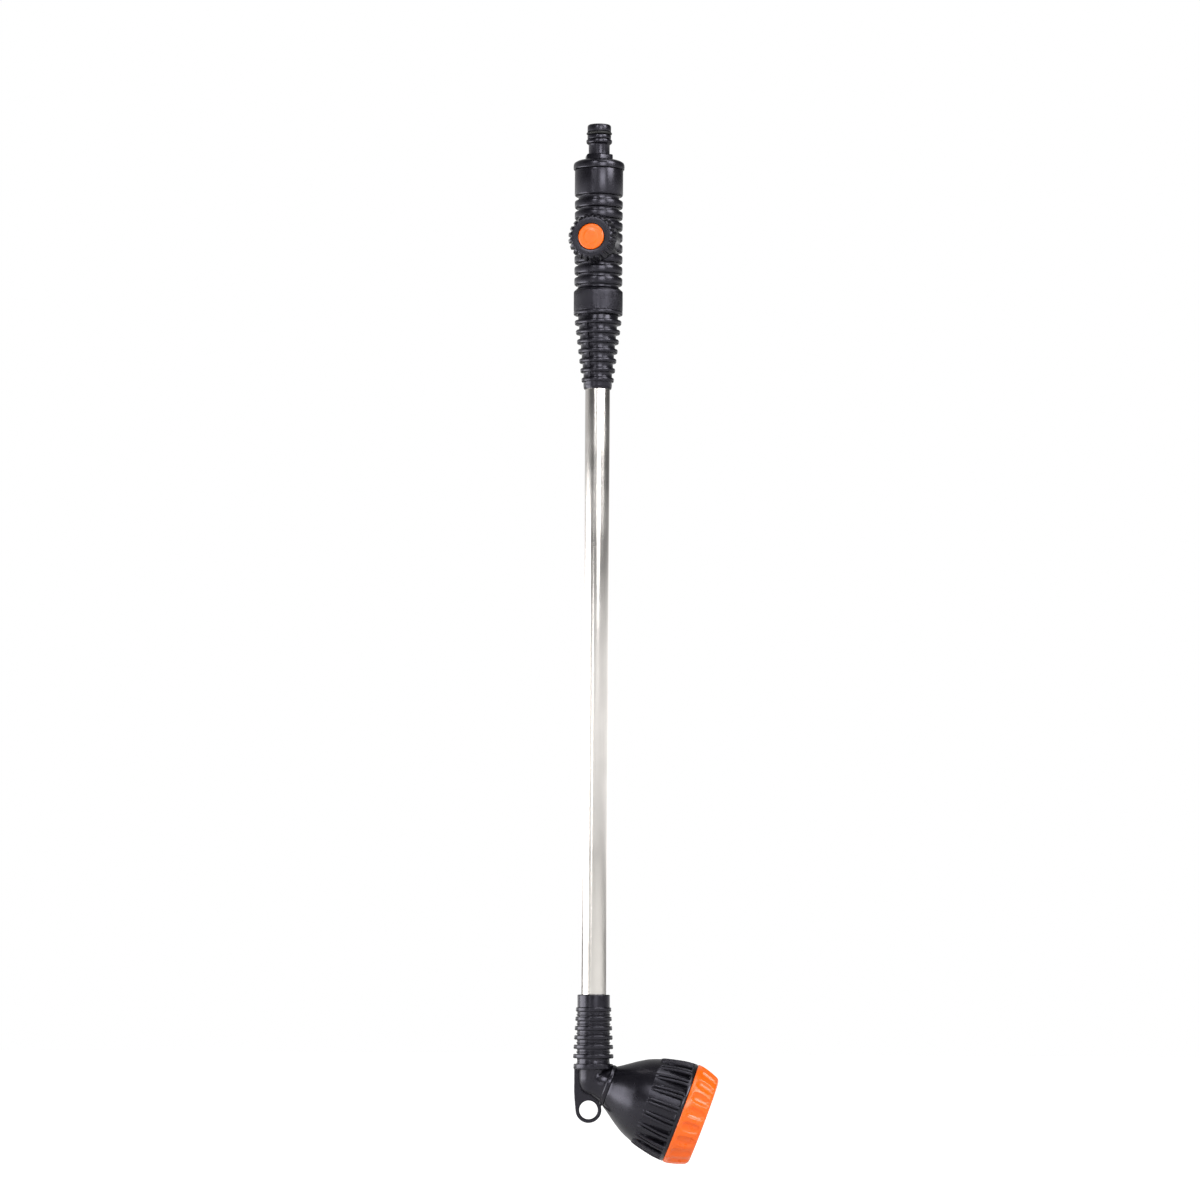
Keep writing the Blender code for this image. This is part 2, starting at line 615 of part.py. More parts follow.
def makeBezelRing():
    """The grip ring, with a flat-bottomed scallop between each pair of ridges."""
    perScallop = 3
    bezel = turned("bezel_ring", [
        (26.0, BEZEL_FRONT), (28.8, BEZEL_FRONT), (30.5, 65.4), (31.2, 63.4), (33.2, 58.0), (34.2, 53.6),
        (34.3, BEZEL_BACK), (BEZEL_BORE_R, BEZEL_BACK), (BEZEL_BORE_R, BEZEL_LIP_BACK),
        (BEZEL_WINDOW_R + 0.6, BEZEL_LIP_BACK), (BEZEL_WINDOW_R, 64.0)], roseAxis, SCALLOPS * perScallop)
    finish(bezel, ORANGE)
    for vertex in bezel.data.vertices:
        height = vertex.co.z / MM
        angle = math.degrees(math.atan2(vertex.co.y, vertex.co.x))
        onRidge = round(angle / (360 / SCALLOPS / perScallop)) % perScallop == 0
        if 54.0 < height < 64.0 and vertex.co.xy.length > 31.0 * MM and not onRidge:
            vertex.co.xy *= 1 - SCALLOP_DEPTH * MM / vertex.co.xy.length


knobAxis = addAxis("knob_axis", KNOB_Z, (90.0, 0.0, -KNOB_TURN))
roseAxis = addAxis("rose_axis", ELBOW_Z, (0.0, 90.0 + ROSE_TILT, 0.0))
roseAxis.location.x = ROSE_SEAT * math.cos(math.radians(ROSE_TILT)) * MM
roseAxis.location.z -= ROSE_SEAT * math.sin(math.radians(ROSE_TILT)) * MM
bpy.context.view_layer.update()

makeHoseNipple()
makeEndCap()
makeValveBody()
makeBallSeat("ball_seat_inlet", 1)
makeBallSeat("ball_seat_outlet", -1)
makeBonnet()
makeBall()
makeStem()
makeKnob()
makeKnobCap()
makeUnionNut()
makeTaperSleeve()
makeTubeSpigot()
makeLanceTube()
makeHeadGrip()
makeElbow()
makeRoseShell()
makeRosePlate()
makeBezelRing()
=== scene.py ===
import json
import math

import bmesh
import bpy
from mathutils import Matrix, Vector


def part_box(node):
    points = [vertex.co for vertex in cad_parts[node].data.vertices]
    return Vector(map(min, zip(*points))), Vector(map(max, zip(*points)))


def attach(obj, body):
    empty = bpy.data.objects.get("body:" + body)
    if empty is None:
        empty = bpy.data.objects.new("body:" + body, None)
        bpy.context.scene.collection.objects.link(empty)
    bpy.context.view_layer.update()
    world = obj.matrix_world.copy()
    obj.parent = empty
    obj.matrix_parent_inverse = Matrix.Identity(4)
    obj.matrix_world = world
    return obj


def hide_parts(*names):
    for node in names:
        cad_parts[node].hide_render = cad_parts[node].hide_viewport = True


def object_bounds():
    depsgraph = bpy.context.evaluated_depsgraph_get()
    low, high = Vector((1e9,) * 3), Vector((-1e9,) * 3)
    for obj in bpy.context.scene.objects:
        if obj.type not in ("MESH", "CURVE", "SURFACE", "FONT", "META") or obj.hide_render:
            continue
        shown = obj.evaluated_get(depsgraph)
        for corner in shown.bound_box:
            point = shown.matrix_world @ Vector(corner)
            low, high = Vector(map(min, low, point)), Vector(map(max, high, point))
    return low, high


# Looks for the watering wand. Heights and radii in the dictionaries are millimetres:
# z runs up the tube from the hose nipple's mouth, and +X is the side that the rose looks to.

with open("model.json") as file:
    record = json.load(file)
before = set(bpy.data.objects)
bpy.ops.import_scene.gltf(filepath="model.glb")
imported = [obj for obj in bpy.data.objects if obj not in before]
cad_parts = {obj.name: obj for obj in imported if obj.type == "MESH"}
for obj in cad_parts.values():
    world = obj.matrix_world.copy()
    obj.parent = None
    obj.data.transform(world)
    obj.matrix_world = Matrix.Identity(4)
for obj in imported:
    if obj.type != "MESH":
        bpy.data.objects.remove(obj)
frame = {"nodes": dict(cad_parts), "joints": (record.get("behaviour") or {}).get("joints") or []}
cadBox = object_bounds()
mm = 0.001
turnSteps = 96          # faces round a turned piece

print("frame loaded:", len(frame["nodes"]), "nodes")


def jointFrame(name, flip=1):
    joint = next(j for j in frame["joints"] if j["name"] == name)
    axis = Vector(joint["axis"]) * flip
    turn = axis.to_track_quat("Z", "Y").to_matrix().to_4x4()
    return Matrix.Translation(joint["pos_m"]) @ turn


knobFrame = jointFrame("knob_turn", -1)      # local z runs out of the handle, through the knob
roseFrame = jointFrame("bezel_turn")         # local z runs down the rose, from its seat
wandFrame = Matrix.Identity(4)


def drawOutline(shape, corners):
    # corners are (radius, height, rounding); two on the axis leave the outline open there
    verts = [shape.verts.new((radius * mm, 0, height * mm)) for radius, height, *_ in corners]
    for first, second in zip(verts, verts[1:]):
        shape.edges.new((first, second))
    if corners[0][0] > 0:
        shape.edges.new((verts[-1], verts[0]))
    roundings = [corner[2] if len(corner) > 2 else 0 for corner in corners]
    for rounding in sorted(set(roundings) - {0}):
        chosen = [vert for vert, value in zip(verts, roundings) if value == rounding]
        bmesh.ops.bevel(shape, geom=chosen, offset=rounding * mm, offset_type="OFFSET",
                        affect="VERTICES", segments=4, profile=0.5, material=-1, clamp_overlap=True)


def spinShape(shape, steps=turnSteps):
    bmesh.ops.spin(shape, geom=shape.verts[:] + shape.edges[:], axis=(0, 0, 1), cent=(0, 0, 0),
                   steps=steps, angle=2 * math.pi, use_merge=True)
    bmesh.ops.remove_doubles(shape, verts=shape.verts, dist=0.000002)
    bmesh.ops.recalc_face_normals(shape, faces=shape.faces)


def splitLongEdges(shape, low, high, count):
    # rings cut across the outline between two heights, so that a carving has points to move
    for index in range(1, count):
        height = low + (high - low) * index / count
        bmesh.ops.bisect_plane(shape, geom=shape.verts[:] + shape.edges[:] + shape.faces[:],
                               plane_co=(0, 0, height * mm), plane_no=(0, 0, 1), dist=0.000001)


def sink(shape, depthAt):
    # moves each point towards the axis by depthAt(angle in degrees, radius, height)
    for vert in shape.verts:
        radius = vert.co.xy.length
        if radius > 0:
            angle = math.degrees(math.atan2(vert.co.y, vert.co.x))
            depth = depthAt(angle, radius / mm, vert.co.z / mm)
            vert.co.xy *= 1 - depth * mm / radius


def toPiece(shape, name, place=wandFrame, sharp=38):
    mesh = bpy.data.meshes.new(name)
    shape.to_mesh(mesh)
    shape.free()
    mesh.transform(place)
    mesh.shade_smooth()
    mesh.set_sharp_from_angle(angle=math.radians(sharp))
    piece = bpy.data.objects.new(name, mesh)
    bpy.context.collection.objects.link(piece)
    return piece


def turnedPiece(name, corners, place=wandFrame, steps=turnSteps):
    shape = bmesh.new()
    drawOutline(shape, corners)
    spinShape(shape, steps)
    return toPiece(shape, name, place)


def applyTools(piece, tools, sharp=38):
    # tools are (object, operation); each is used once and removed
    for tool, operation in tools:
        cut = piece.modifiers.new(tool.name, "BOOLEAN")
        cut.object = tool
        cut.operation = operation
        cut.solver = "EXACT"
    bpy.context.view_layer.update()
    evaluated = piece.evaluated_get(bpy.context.evaluated_depsgraph_get())
    mesh = bpy.data.meshes.new_from_object(evaluated)
    piece.modifiers.clear()
    piece.data = mesh
    shape = bmesh.new()
    shape.from_mesh(mesh)
    bmesh.ops.remove_doubles(shape, verts=shape.verts, dist=0.0000002)      # closes the cuts' seams
    shape.to_mesh(mesh)
    shape.free()
    mesh.shade_smooth()
    mesh.set_sharp_from_angle(angle=math.radians(sharp))
    for tool, _ in tools:
        bpy.data.objects.remove(tool)
    return piece


def boxTool(name, size, centre, place=wandFrame):
    shape = bmesh.new()
    bmesh.ops.create_cube(shape, size=1)
    bmesh.ops.scale(shape, verts=shape.verts, vec=[length * mm for length in size])
    bmesh.ops.translate(shape, verts=shape.verts, vec=[length * mm for length in centre])
    return toPiece(shape, name, place)


def rodTool(name, radius, low, high, place=wandFrame, sides=48):
    shape = bmesh.new()
    bmesh.ops.create_cone(shape, cap_ends=True, segments=sides, radius1=radius * mm,
                          radius2=radius * mm, depth=(high - low) * mm)
    bmesh.ops.translate(shape, verts=shape.verts, vec=(0, 0, (low + high) / 2 * mm))
    return toPiece(shape, name, place)


def smoothStep(value):
    value = min(max(value, 0), 1)
    return value * value * (3 - 2 * value)


def fade(value, start, end):
    return smoothStep((value - start) / (end - start))


def mount(piece, material, body, node):
    piece.data.materials.clear()
    piece.data.materials.append(material)
    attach(piece, body)
    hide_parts(node)
    return piece


def linear(hexColour):
    channels = [int(hexColour[i:i + 2], 16) / 255 for i in (1, 3, 5)]
    bent = [c / 12.92 if c <= 0.04045 else ((c + 0.055) / 1.055) ** 2.4 for c in channels]
    return (*bent, 1)


def addNode(tree, kind, settings=None, values=None, links=None):
    node = tree.nodes.new(kind)
    for name, value in (settings or {}).items():
        setattr(node, name, value)
    for socket, value in (values or {}).items():
        node.inputs[socket].default_value = value
    for socket, source in (links or {}).items():
        tree.links.new(source, node.inputs[socket])
    return node


def startMaterial(name, values):
    material = bpy.data.materials.new(name)
    material.use_nodes = True
    shader = material.node_tree.nodes["Principled BSDF"]
    for socket, value in values.items():
        shader.inputs[socket].default_value = value
    return material, material.node_tree, shader


def mouldedPlastic(name, look):
    # Injection-moulded ABS: the tool's fine satin grain breaks up the gloss, and slow flow
    # marks make some stretches a little shinier than others.
    material, tree, shader = startMaterial(name, {
        "IOR": 1.53, "Specular IOR Level": look["specular"], "Specular Tint": linear(look["sheen"])})
    place = addNode(tree, "ShaderNodeTexCoord").outputs["Object"]
    flow = addNode(tree, "ShaderNodeTexNoise", values={
        "Scale": 1 / (look["flowMm"] * mm), "Detail": 3, "Roughness": 0.5}, links={"Vector": place})
    grain = addNode(tree, "ShaderNodeTexNoise", values={
        "Scale": 1 / (look["grainMm"] * mm), "Detail": 2, "Roughness": 0.6}, links={"Vector": place})
    tint = addNode(tree, "ShaderNodeMix", {"data_type": "RGBA"}, {
        6: linear(look["dark"]), 7: linear(look["light"])}, {0: flow.outputs["Fac"]})
    gloss = addNode(tree, "ShaderNodeMapRange", values={
        "From Min": 0.3, "From Max": 0.7, "To Min": look["rough"][0], "To Max": look["rough"][1]},
        links={"Value": flow.outputs["Fac"]})
    bump = addNode(tree, "ShaderNodeBump", values={
        "Strength": look["bump"], "Distance": 0.05 * mm}, links={"Height": grain.outputs["Fac"]})
    tree.links.new(tint.outputs[2], shader.inputs["Base Color"])
    tree.links.new(gloss.outputs["Result"], shader.inputs["Roughness"])
    tree.links.new(bump.outputs["Normal"], shader.inputs["Normal"])
    return material


def drawnAluminium(name):
    # Drawn tube, clear anodised: a satin metal whose die lines run along the tube. The real
    # lines are hundredths of a millimetre apart, and these are drawn coarser so that they show.
    material, tree, shader = startMaterial(name, {"Metallic": 1.0, "Anisotropic": 0.35})
    place = addNode(tree, "ShaderNodeTexCoord").outputs["Object"]
    stretch = addNode(tree, "ShaderNodeMapping", values={"Scale": (1, 1, 0.012)}, links={"Vector": place})
    lines = addNode(tree, "ShaderNodeTexNoise", values={
        "Scale": 1 / (0.5 * mm), "Detail": 4, "Roughness": 0.65}, links={"Vector": stretch.outputs[0]})
    cloud = addNode(tree, "ShaderNodeTexNoise", values={
        "Scale": 1 / (30 * mm), "Detail": 2}, links={"Vector": place})
    tint = addNode(tree, "ShaderNodeMix", {"data_type": "RGBA"}, {
        6: linear("#E2DDD8"), 7: linear("#F4F0EC")}, {0: lines.outputs["Fac"]})
    gloss = addNode(tree, "ShaderNodeMapRange", values={
        "From Min": 0.3, "From Max": 0.7, "To Min": 0.17, "To Max": 0.25},
        links={"Value": cloud.outputs["Fac"]})
    bump = addNode(tree, "ShaderNodeBump", values={
        "Strength": 0.12, "Distance": 0.03 * mm}, links={"Height": lines.outputs["Fac"]})
    tree.links.new(tint.outputs[2], shader.inputs["Base Color"])
    tree.links.new(gloss.outputs["Result"], shader.inputs["Roughness"])
    tree.links.new(bump.outputs["Normal"], shader.inputs["Normal"])
    return material


def workedMetal(name, look):
    # Bright metal with the fine scratches of rolling or turning in every direction.
    material, tree, shader = startMaterial(name, {"Metallic": 1.0})
    place = addNode(tree, "ShaderNodeTexCoord").outputs["Object"]
    scratches = addNode(tree, "ShaderNodeTexNoise", values={
        "Scale": 1 / (look["grainMm"] * mm), "Detail": 5, "Roughness": 0.7}, links={"Vector": place})
    tint = addNode(tree, "ShaderNodeMix", {"data_type": "RGBA"}, {
        6: linear(look["dark"]), 7: linear(look["light"])}, {0: scratches.outputs["Fac"]})
    gloss = addNode(tree, "ShaderNodeMapRange", values={
        "To Min": look["rough"][0], "To Max": look["rough"][1]},
        links={"Value": scratches.outputs["Fac"]})
    tree.links.new(tint.outputs[2], shader.inputs["Base Color"])
    tree.links.new(gloss.outputs["Result"], shader.inputs["Roughness"])
    return material


blackAbs = mouldedPlastic("black ABS, satin moulded", {
    "dark": "#0B0A0E", "light": "#121116", "rough": (0.22, 0.30), "flowMm": 14, "grainMm": 0.5,
    "bump": 0.10, "specular": 0.5, "sheen": "#EFECFF"})
orangeAbs = mouldedPlastic("orange ABS, semi-gloss moulded", {
    "dark": "#FF6402", "light": "#FF7010", "rough": (0.26, 0.34), "flowMm": 12, "grainMm": 0.5,
    "bump": 0.06, "specular": 0.5, "sheen": "#FFFFFF"})
whitePtfe = mouldedPlastic("white PTFE, machined", {
    "dark": "#E6E4DE", "light": "#F0EEE8", "rough": (0.45, 0.55), "flowMm": 5, "grainMm": 0.4,
    "bump": 0.15, "specular": 0.35, "sheen": "#FFFFFF"})
nitrileRubber = mouldedPlastic("black nitrile rubber, moulded", {
    "dark": "#141414", "light": "#1B1B1B", "rough": (0.50, 0.62), "flowMm": 3, "grainMm": 0.35,
    "bump": 0.2, "specular": 0.4, "sheen": "#FFFFFF"})
anodisedTube = drawnAluminium("aluminium tube, drawn and clear anodised")
stainlessSheet = workedMetal("stainless sheet, rolled bright", {
    "dark": "#B9B8B6", "light": "#D9D8D6", "rough": (0.2, 0.34), "grainMm": 0.6})
turnedBrass = workedMetal("brass, turned", {
    "dark": "#B98A3C", "light": "#D6A959", "rough": (0.2, 0.32), "grainMm": 0.4})

print("materials ready")


# hose inlet: the nipple, its ring and the cap that holds it
nipple = {"bore": 5.2, "tip": 7.95, "groove": 6.6, "grooveTop": -4.7, "grooveEnd": -7.3, "tipEnd": -9.8,
          "lock": 8.7, "lockTop": -10.5, "lockEnd": -12.5, "neck": 7.1, "neckTop": -13.8, "neckEnd": -22,
          "shank": 8.4, "end": -37.0, "hexCorner": 10.1, "hexTop": -20.4, "hexEnd": -24.1, "hexTurn": 6}
nippleRing = {"radius": 7.75, "wire": 0.85, "height": -6.0}


def makeHoseNipple():
    n = nipple
    body = turnedPiece("hoseNipple", [
        (n["tip"], 0, 1.5), (n["tip"], n["grooveTop"], 0.15), (n["groove"], n["grooveTop"], 0.1),
        (n["groove"], n["grooveEnd"], 0.1), (n["tip"], n["grooveEnd"], 0.4), (n["tip"], n["tipEnd"], 0.4),
        (n["tip"] - 0.5, n["tipEnd"] - 0.2, 0.1), (n["lock"], n["lockTop"], 0.5),
        (n["lock"], n["lockEnd"], 0.5), (n["neck"], n["neckTop"], 0.4), (n["neck"], n["neckEnd"], 0),
        (n["shank"], n["neckEnd"], 0), (n["shank"], n["end"], 0.3), (n["bore"], n["end"], 0.2),
        (n["bore"], 0, 0.6)])
    shape = bmesh.new()
    bmesh.ops.create_cone(shape, cap_ends=True, segments=6, radius1=n["hexCorner"] * mm,
                          radius2=n["hexCorner"] * mm, depth=(n["hexTop"] - n["hexEnd"]) * mm)
    bmesh.ops.translate(shape, verts=shape.verts, vec=(0, 0, (n["hexTop"] + n["hexEnd"]) / 2 * mm))
    bmesh.ops.rotate(shape, verts=shape.verts, cent=(0, 0, 0),
                     matrix=Matrix.Rotation(math.radians(n["hexTurn"]), 3, "Z"))
    top = [edge for edge in shape.edges if all(v.co.z > (n["hexTop"] - 0.1) * mm for v in edge.verts)]
    bmesh.ops.bevel(shape, geom=top, offset=0.9 * mm, offset_type="OFFSET", affect="EDGES",
                    segments=2, profile=0.5, material=-1)
    upright = [edge for edge in shape.edges if abs(edge.verts[0].co.z - edge.verts[1].co.z) > 2 * mm]
    bmesh.ops.bevel(shape, geom=upright, offset=0.25 * mm, offset_type="OFFSET", affect="EDGES",
                    segments=2, profile=0.5, material=-1)
    hexagon = toPiece(shape, "hexagon")
    applyTools(hexagon, [(rodTool("hexBore", n["neck"] - 0.5, n["hexEnd"] - 5, n["hexTop"] + 5),
                          "DIFFERENCE")])
    applyTools(body, [(hexagon, "UNION")])
    mount(body, blackAbs, "handle", "hose_nipple")


def makeSealRing():
    r = nippleRing
    shape = bmesh.new()
    bmesh.ops.create_circle(shape, segments=20, radius=r["wire"] * mm)
    bmesh.ops.rotate(shape, verts=shape.verts, cent=(0, 0, 0), matrix=Matrix.Rotation(math.pi / 2, 3, "X"))
    bmesh.ops.translate(shape, verts=shape.verts, vec=(r["radius"] * mm, 0, r["height"] * mm))
    spinShape(shape)
    mount(toPiece(shape, "nippleSeal"), nitrileRubber, "handle", "nipple_o_ring")


endCap = {"rim": 17.2, "rimEnd": -30.8, "spigot": 12.6, "spigotEnd": -37.0, "bore": 8.7}


def makeEndCap():
    c = endCap
    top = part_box("end_cap")[1].z / mm
    cap = turnedPiece("endCap", [
        (10.6, top, 0.2), (14.4, top - 0.5, 1.0), (16.7, top - 1.9, 1.1), (c["rim"], top - 3.2, 0.8),
        (c["rim"], c["rimEnd"] + 0.4, 0.25), (c["rim"] - 0.3, c["rimEnd"], 0.1),
        (c["spigot"], c["rimEnd"], 0.1), (c["spigot"], c["spigotEnd"], 0.3),
        (c["bore"], c["spigotEnd"], 0.2), (c["bore"], top, 0.1)])
    mount(cap, blackAbs, "handle", "end_cap")


# the handle, with its ribs and the boss that carries the knob
valveBody = {"barrel": 16.3, "barrelEnd": -48.9, "core": 13.75, "rib": 16.2, "ribs": 8, "ribTop": -51.9,
             "ribPitch": 7.47, "ribWidth": 5.4, "ribRounding": 1.15, "shoulder": -112.6, "thread": 14.9,
             "end": -121.5, "socket": 12.9, "socketFloor": -39.1, "chamber": 9.0, "seatBack": 8.0,
             "bore": 5.2, "boss": 15.6, "bossBack": 3, "bossFace": 19.6, "bossRounding": 1.2,
             "bonnetBore": 7.3, "bonnetFloor": 10.7, "stemBore": 3.6, "stemBoreEnd": 2,
             "arrow": {"turn": 11, "top": -32.6, "tip": -42.2, "width": 4.7, "depth": 0.45}}


def makeArrowTool(arrow, barrel):
    # a flat triangular wedge that leaves a shallow arrow pointing along the flow
    shape = bmesh.new()
    flat = [(-arrow["width"] / 2, arrow["top"]), (arrow["width"] / 2, arrow["top"]), (0, arrow["tip"])]
    verts = [shape.verts.new((x * mm, -(barrel + 2) * mm, z * mm)) for x, z in flat]
    face = shape.faces.new(verts)
    grown = bmesh.ops.extrude_face_region(shape, geom=[face])
    moved = [item for item in grown["geom"] if isinstance(item, bmesh.types.BMVert)]
    bmesh.ops.translate(shape, verts=moved, vec=(0, (2 + arrow["depth"]) * mm, 0))
    bmesh.ops.rotate(shape, verts=shape.verts, cent=(0, 0, 0),
                     matrix=Matrix.Rotation(-math.radians(arrow["turn"]), 3, "Z"))
    bmesh.ops.recalc_face_normals(shape, faces=shape.faces)
    return toPiece(shape, "arrowTool")


def makeValveBody():
    v = valveBody
    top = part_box("valve_body")[1].z / mm
    seatBack = knobFrame.translation.z / mm - v["seatBack"]
    corners = [(0, top, 0), (v["barrel"], top, 0.35), (v["barrel"], v["barrelEnd"], v["ribRounding"]),
               (v["core"], v["barrelEnd"], 0.3)]
    for index in range(v["ribs"]):
        ribTop = v["ribTop"] - index * v["ribPitch"]
        ribEnd = ribTop - v["ribWidth"]
        corners += [(v["core"], ribTop, 0.3), (v["rib"], ribTop, v["ribRounding"]),
                    (v["rib"], ribEnd, v["ribRounding"]), (v["core"], ribEnd, 0.3)]
    corners += [(v["core"], v["shoulder"] + 1.4, 0.2), (v["thread"] + 0.4, v["shoulder"], 0.1),
                (v["thread"], v["shoulder"], 0), (v["thread"], v["end"], 0.4), (0, v["end"], 0)]
    body = turnedPiece("valveBody", corners, steps=128)
    waterway = turnedPiece("waterwayTool", [
        (0, top + 2, 0), (v["socket"], top + 2, 0), (v["socket"], v["socketFloor"], 0),
        (v["chamber"], v["socketFloor"], 0), (v["chamber"], seatBack, 0), (v["bore"], seatBack, 0),
        (v["bore"], v["end"] - 2, 0), (0, v["end"] - 2, 0)])
    boss = turnedPiece("bossTool", [
        (0, v["bossFace"], 0), (v["boss"], v["bossFace"], v["bossRounding"]),
        (v["boss"], v["bossBack"], 0), (0, v["bossBack"], 0)], knobFrame)
    stemBore = turnedPiece("stemBoreTool", [
        (0, v["bossFace"] + 2, 0), (v["bonnetBore"], v["bossFace"] + 2, 0),
        (v["bonnetBore"], v["bonnetFloor"], 0), (v["stemBore"], v["bonnetFloor"], 0),
        (v["stemBore"], v["stemBoreEnd"], 0), (0, v["stemBoreEnd"], 0)], knobFrame)
    applyTools(body, [(boss, "UNION"), (waterway, "DIFFERENCE"), (stemBore, "DIFFERENCE"),
                      (makeArrowTool(v["arrow"], v["barrel"]), "DIFFERENCE")])
    mount(body, blackAbs, "handle", "valve_body")


# heights here are counted along the knob's axis, from the wand's axis
knob = {"backRim": 16.7, "frontRim": 14.5, "face": 13.2, "back": 20.0, "front": 27.0, "web": 25.0,
        "recess": 9.0, "bore": 2.0, "teeth": 22, "notch": 1.2, "toothShare": 0.64, "crown": 0.25,
        "square": 5.8}


def makeKnob():
    k = knob
    shape = bmesh.new()
    drawOutline(shape, [
        (k["bore"], k["web"], 0), (k["recess"], k["web"], 0.2), (k["recess"], k["front"], 0.4),
        (k["face"], k["front"], 0.5), (k["frontRim"], k["front"] - 0.8, 0.4),
        (k["backRim"], k["back"] + 0.8, 0.4), (k["backRim"] - 0.4, k["back"], 0.3),
        (k["bore"], k["back"], 0)])
    spinShape(shape, k["teeth"] * 16)
    splitLongEdges(shape, k["back"] + 1.4, k["front"] - 1.2, 6)

    def notchAt(angle, radius, height):
        share = abs((angle * k["teeth"] / 360) % 1 - 0.5) * 2      # 0 in the middle of a tooth
        inNotch = fade(share, k["toothShare"] - 0.12, k["toothShare"] + 0.16)
        rounded = k["crown"] * share ** 2 * (1 - inNotch)
        return (k["notch"] * inNotch + rounded) * fade(radius, k["face"] - 0.5, k["face"] + 0.9)

    sink(shape, notchAt)
    piece = toPiece(shape, "valveKnob", knobFrame, 50)
    square = boxTool("squareTool", (k["square"], k["square"], 12), (0, 0, 22), knobFrame)
    applyTools(piece, [(square, "DIFFERENCE")], 50)
    mount(piece, blackAbs, "valve_spindle", "valve_knob")


knobCap = {"button": 27.8, "face": 27.5, "lidBack": 26.4, "back": 25.3, "skirt": 8.7, "inside": 7.4}


def makeKnobCap():
    # a thin lid on a skirt, with a low round button in its middle
    c = knobCap
    cap = turnedPiece("knobCap", [
        (0, c["button"] - 0.05, 0), (4.4, c["button"], 0.5), (5.2, c["face"] + 0.05, 0.4),
        (7.2, c["face"], 0.3), (8.0, c["face"], 0.4), (c["skirt"], c["face"] - 0.7, 0.4),
        (c["skirt"], c["back"], 0.2), (c["inside"], c["back"], 0.1), (c["inside"], c["lidBack"], 0),
        (0, c["lidBack"], 0)], knobFrame)
    mount(cap, orangeAbs, "valve_spindle", "knob_cap")


unionNut = {"outer": 16.5, "thread": 15.2, "lip": 13.75, "lipTop": -127.0, "bandTop": -127.2,
            "flutes": 120, "fluteDepth": 0.11}


def makeUnionNut():
    u = unionNut
    low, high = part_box("union_nut")
    top, end = high.z / mm, low.z / mm
    shape = bmesh.new()
    drawOutline(shape, [
        (u["thread"] + 0.1, top, 0.1), (u["outer"] - 0.8, top, 0.2), (u["outer"], top - 0.9, 0.3),
        (u["outer"], u["bandTop"] + 0.5, 0.1), (u["outer"] - 0.3, u["bandTop"] + 0.3, 0.1),
        (u["outer"] - 0.3, u["bandTop"] + 0.1, 0.1), (u["outer"], u["bandTop"] - 0.2, 0.2),
        (u["outer"], end, 0.7), (u["lip"], end, 0.2), (u["lip"], u["lipTop"], 0),
        (u["thread"], u["lipTop"], 0)])
    spinShape(shape, u["flutes"] * 6)
    splitLongEdges(shape, u["bandTop"] + 0.6, top - 1.2, 4)

    def fluteAt(angle, radius, height):
        wave = (1 - math.cos(math.radians(angle * u["flutes"]))) / 2
        bottomEnd = fade(height, u["bandTop"] + 0.3, u["bandTop"] + 0.9)
        topEnd = 1 - fade(height, top - 0.8, top - 0.2)
        outside = fade(radius, u["outer"] - 0.9, u["outer"] - 0.2)
        return u["fluteDepth"] * wave * bottomEnd * topEnd * outside

    sink(shape, fluteAt)
    mount(toPiece(shape, "unionNut", sharp=60), blackAbs, "union_nut", "union_nut")


taperSleeve = {"ribs": 7, "first": -134.7, "pitch": 6.47, "width": 3.0, "rib": (15.7, 10.9),
               "core": (13.4, 9.6), "rounding": 0.9, "bore": 8.6, "spigotBore": 11.3, "step": -141.5,
               "web": {"turns": (-36, 144), "width": 2.0, "stand": 0.9, "root": 9.4}}


def stepBetween(ends, index, count):
    return ends[0] + (ends[1] - ends[0]) * index / (count - 1)


def makeTaperSleeve():
    t = taperSleeve
    low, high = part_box("taper_sleeve")
    top, end = high.z / mm, low.z / mm
    last = t["ribs"] - 1
    corners = [(t["core"][0], top, 0.2)]
    tools = []
    for index in range(t["ribs"]):
        centre = t["first"] - index * t["pitch"]
        rib = stepBetween(t["rib"], index, t["ribs"])
        above = stepBetween(t["core"], index, t["ribs"])
        below = stepBetween(t["core"], min(index + 1, last), t["ribs"])
        half = t["width"] / 2
        corners += [(above, centre + half, 0.25), (rib, centre + half, t["rounding"]),
                    (rib, centre - half, t["rounding"]), (below, centre - half, 0.25)]
        if index < last:
            reach = stepBetween(t["rib"], index + 1, t["ribs"]) - t["web"]["stand"]
            root = t["web"]["root"]
            for turn in t["web"]["turns"]:
                around = Matrix.Rotation(math.radians(turn), 4, "Z")
                tools.append((boxTool("webTool", (t["web"]["width"], reach - root, t["pitch"] - 1),
                                      (0, -(reach + root) / 2, centre - t["pitch"] / 2), around), "UNION"))
    corners += [(t["core"][1], end + 1.6, 0.6), (9.2, end, 0.3), (t["bore"], end, 0.1),
                (t["bore"], t["step"], 0), (t["spigotBore"], t["step"], 0), (t["spigotBore"], top, 0.1)]
    piece = turnedPiece("taperSleeve", corners)
    applyTools(piece, tools)
    mount(piece, blackAbs, "lance", "taper_sleeve")


tubeWall = 1.0


def makeLanceTube():
    low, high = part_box("lance_tube")
    top, end, outer = high.z / mm, low.z / mm, high.x / mm
    inner = outer - tubeWall
    tube = turnedPiece("lanceTube", [
        (outer, top, 0.2), (outer, end, 0.2), (inner, end, 0.1), (inner, top, 0.1)], steps=160)
    mount(tube, anodisedTube, "lance", "lance_tube")


headGrip = {"ribs": 6, "first": -595.5, "pitch": 6.2, "width": 2.9, "rib": (11.8, 13.5), "core": 10.9,
            "rounding": 0.8, "bore": 8.6, "step": 0.45, "press": 0.22}


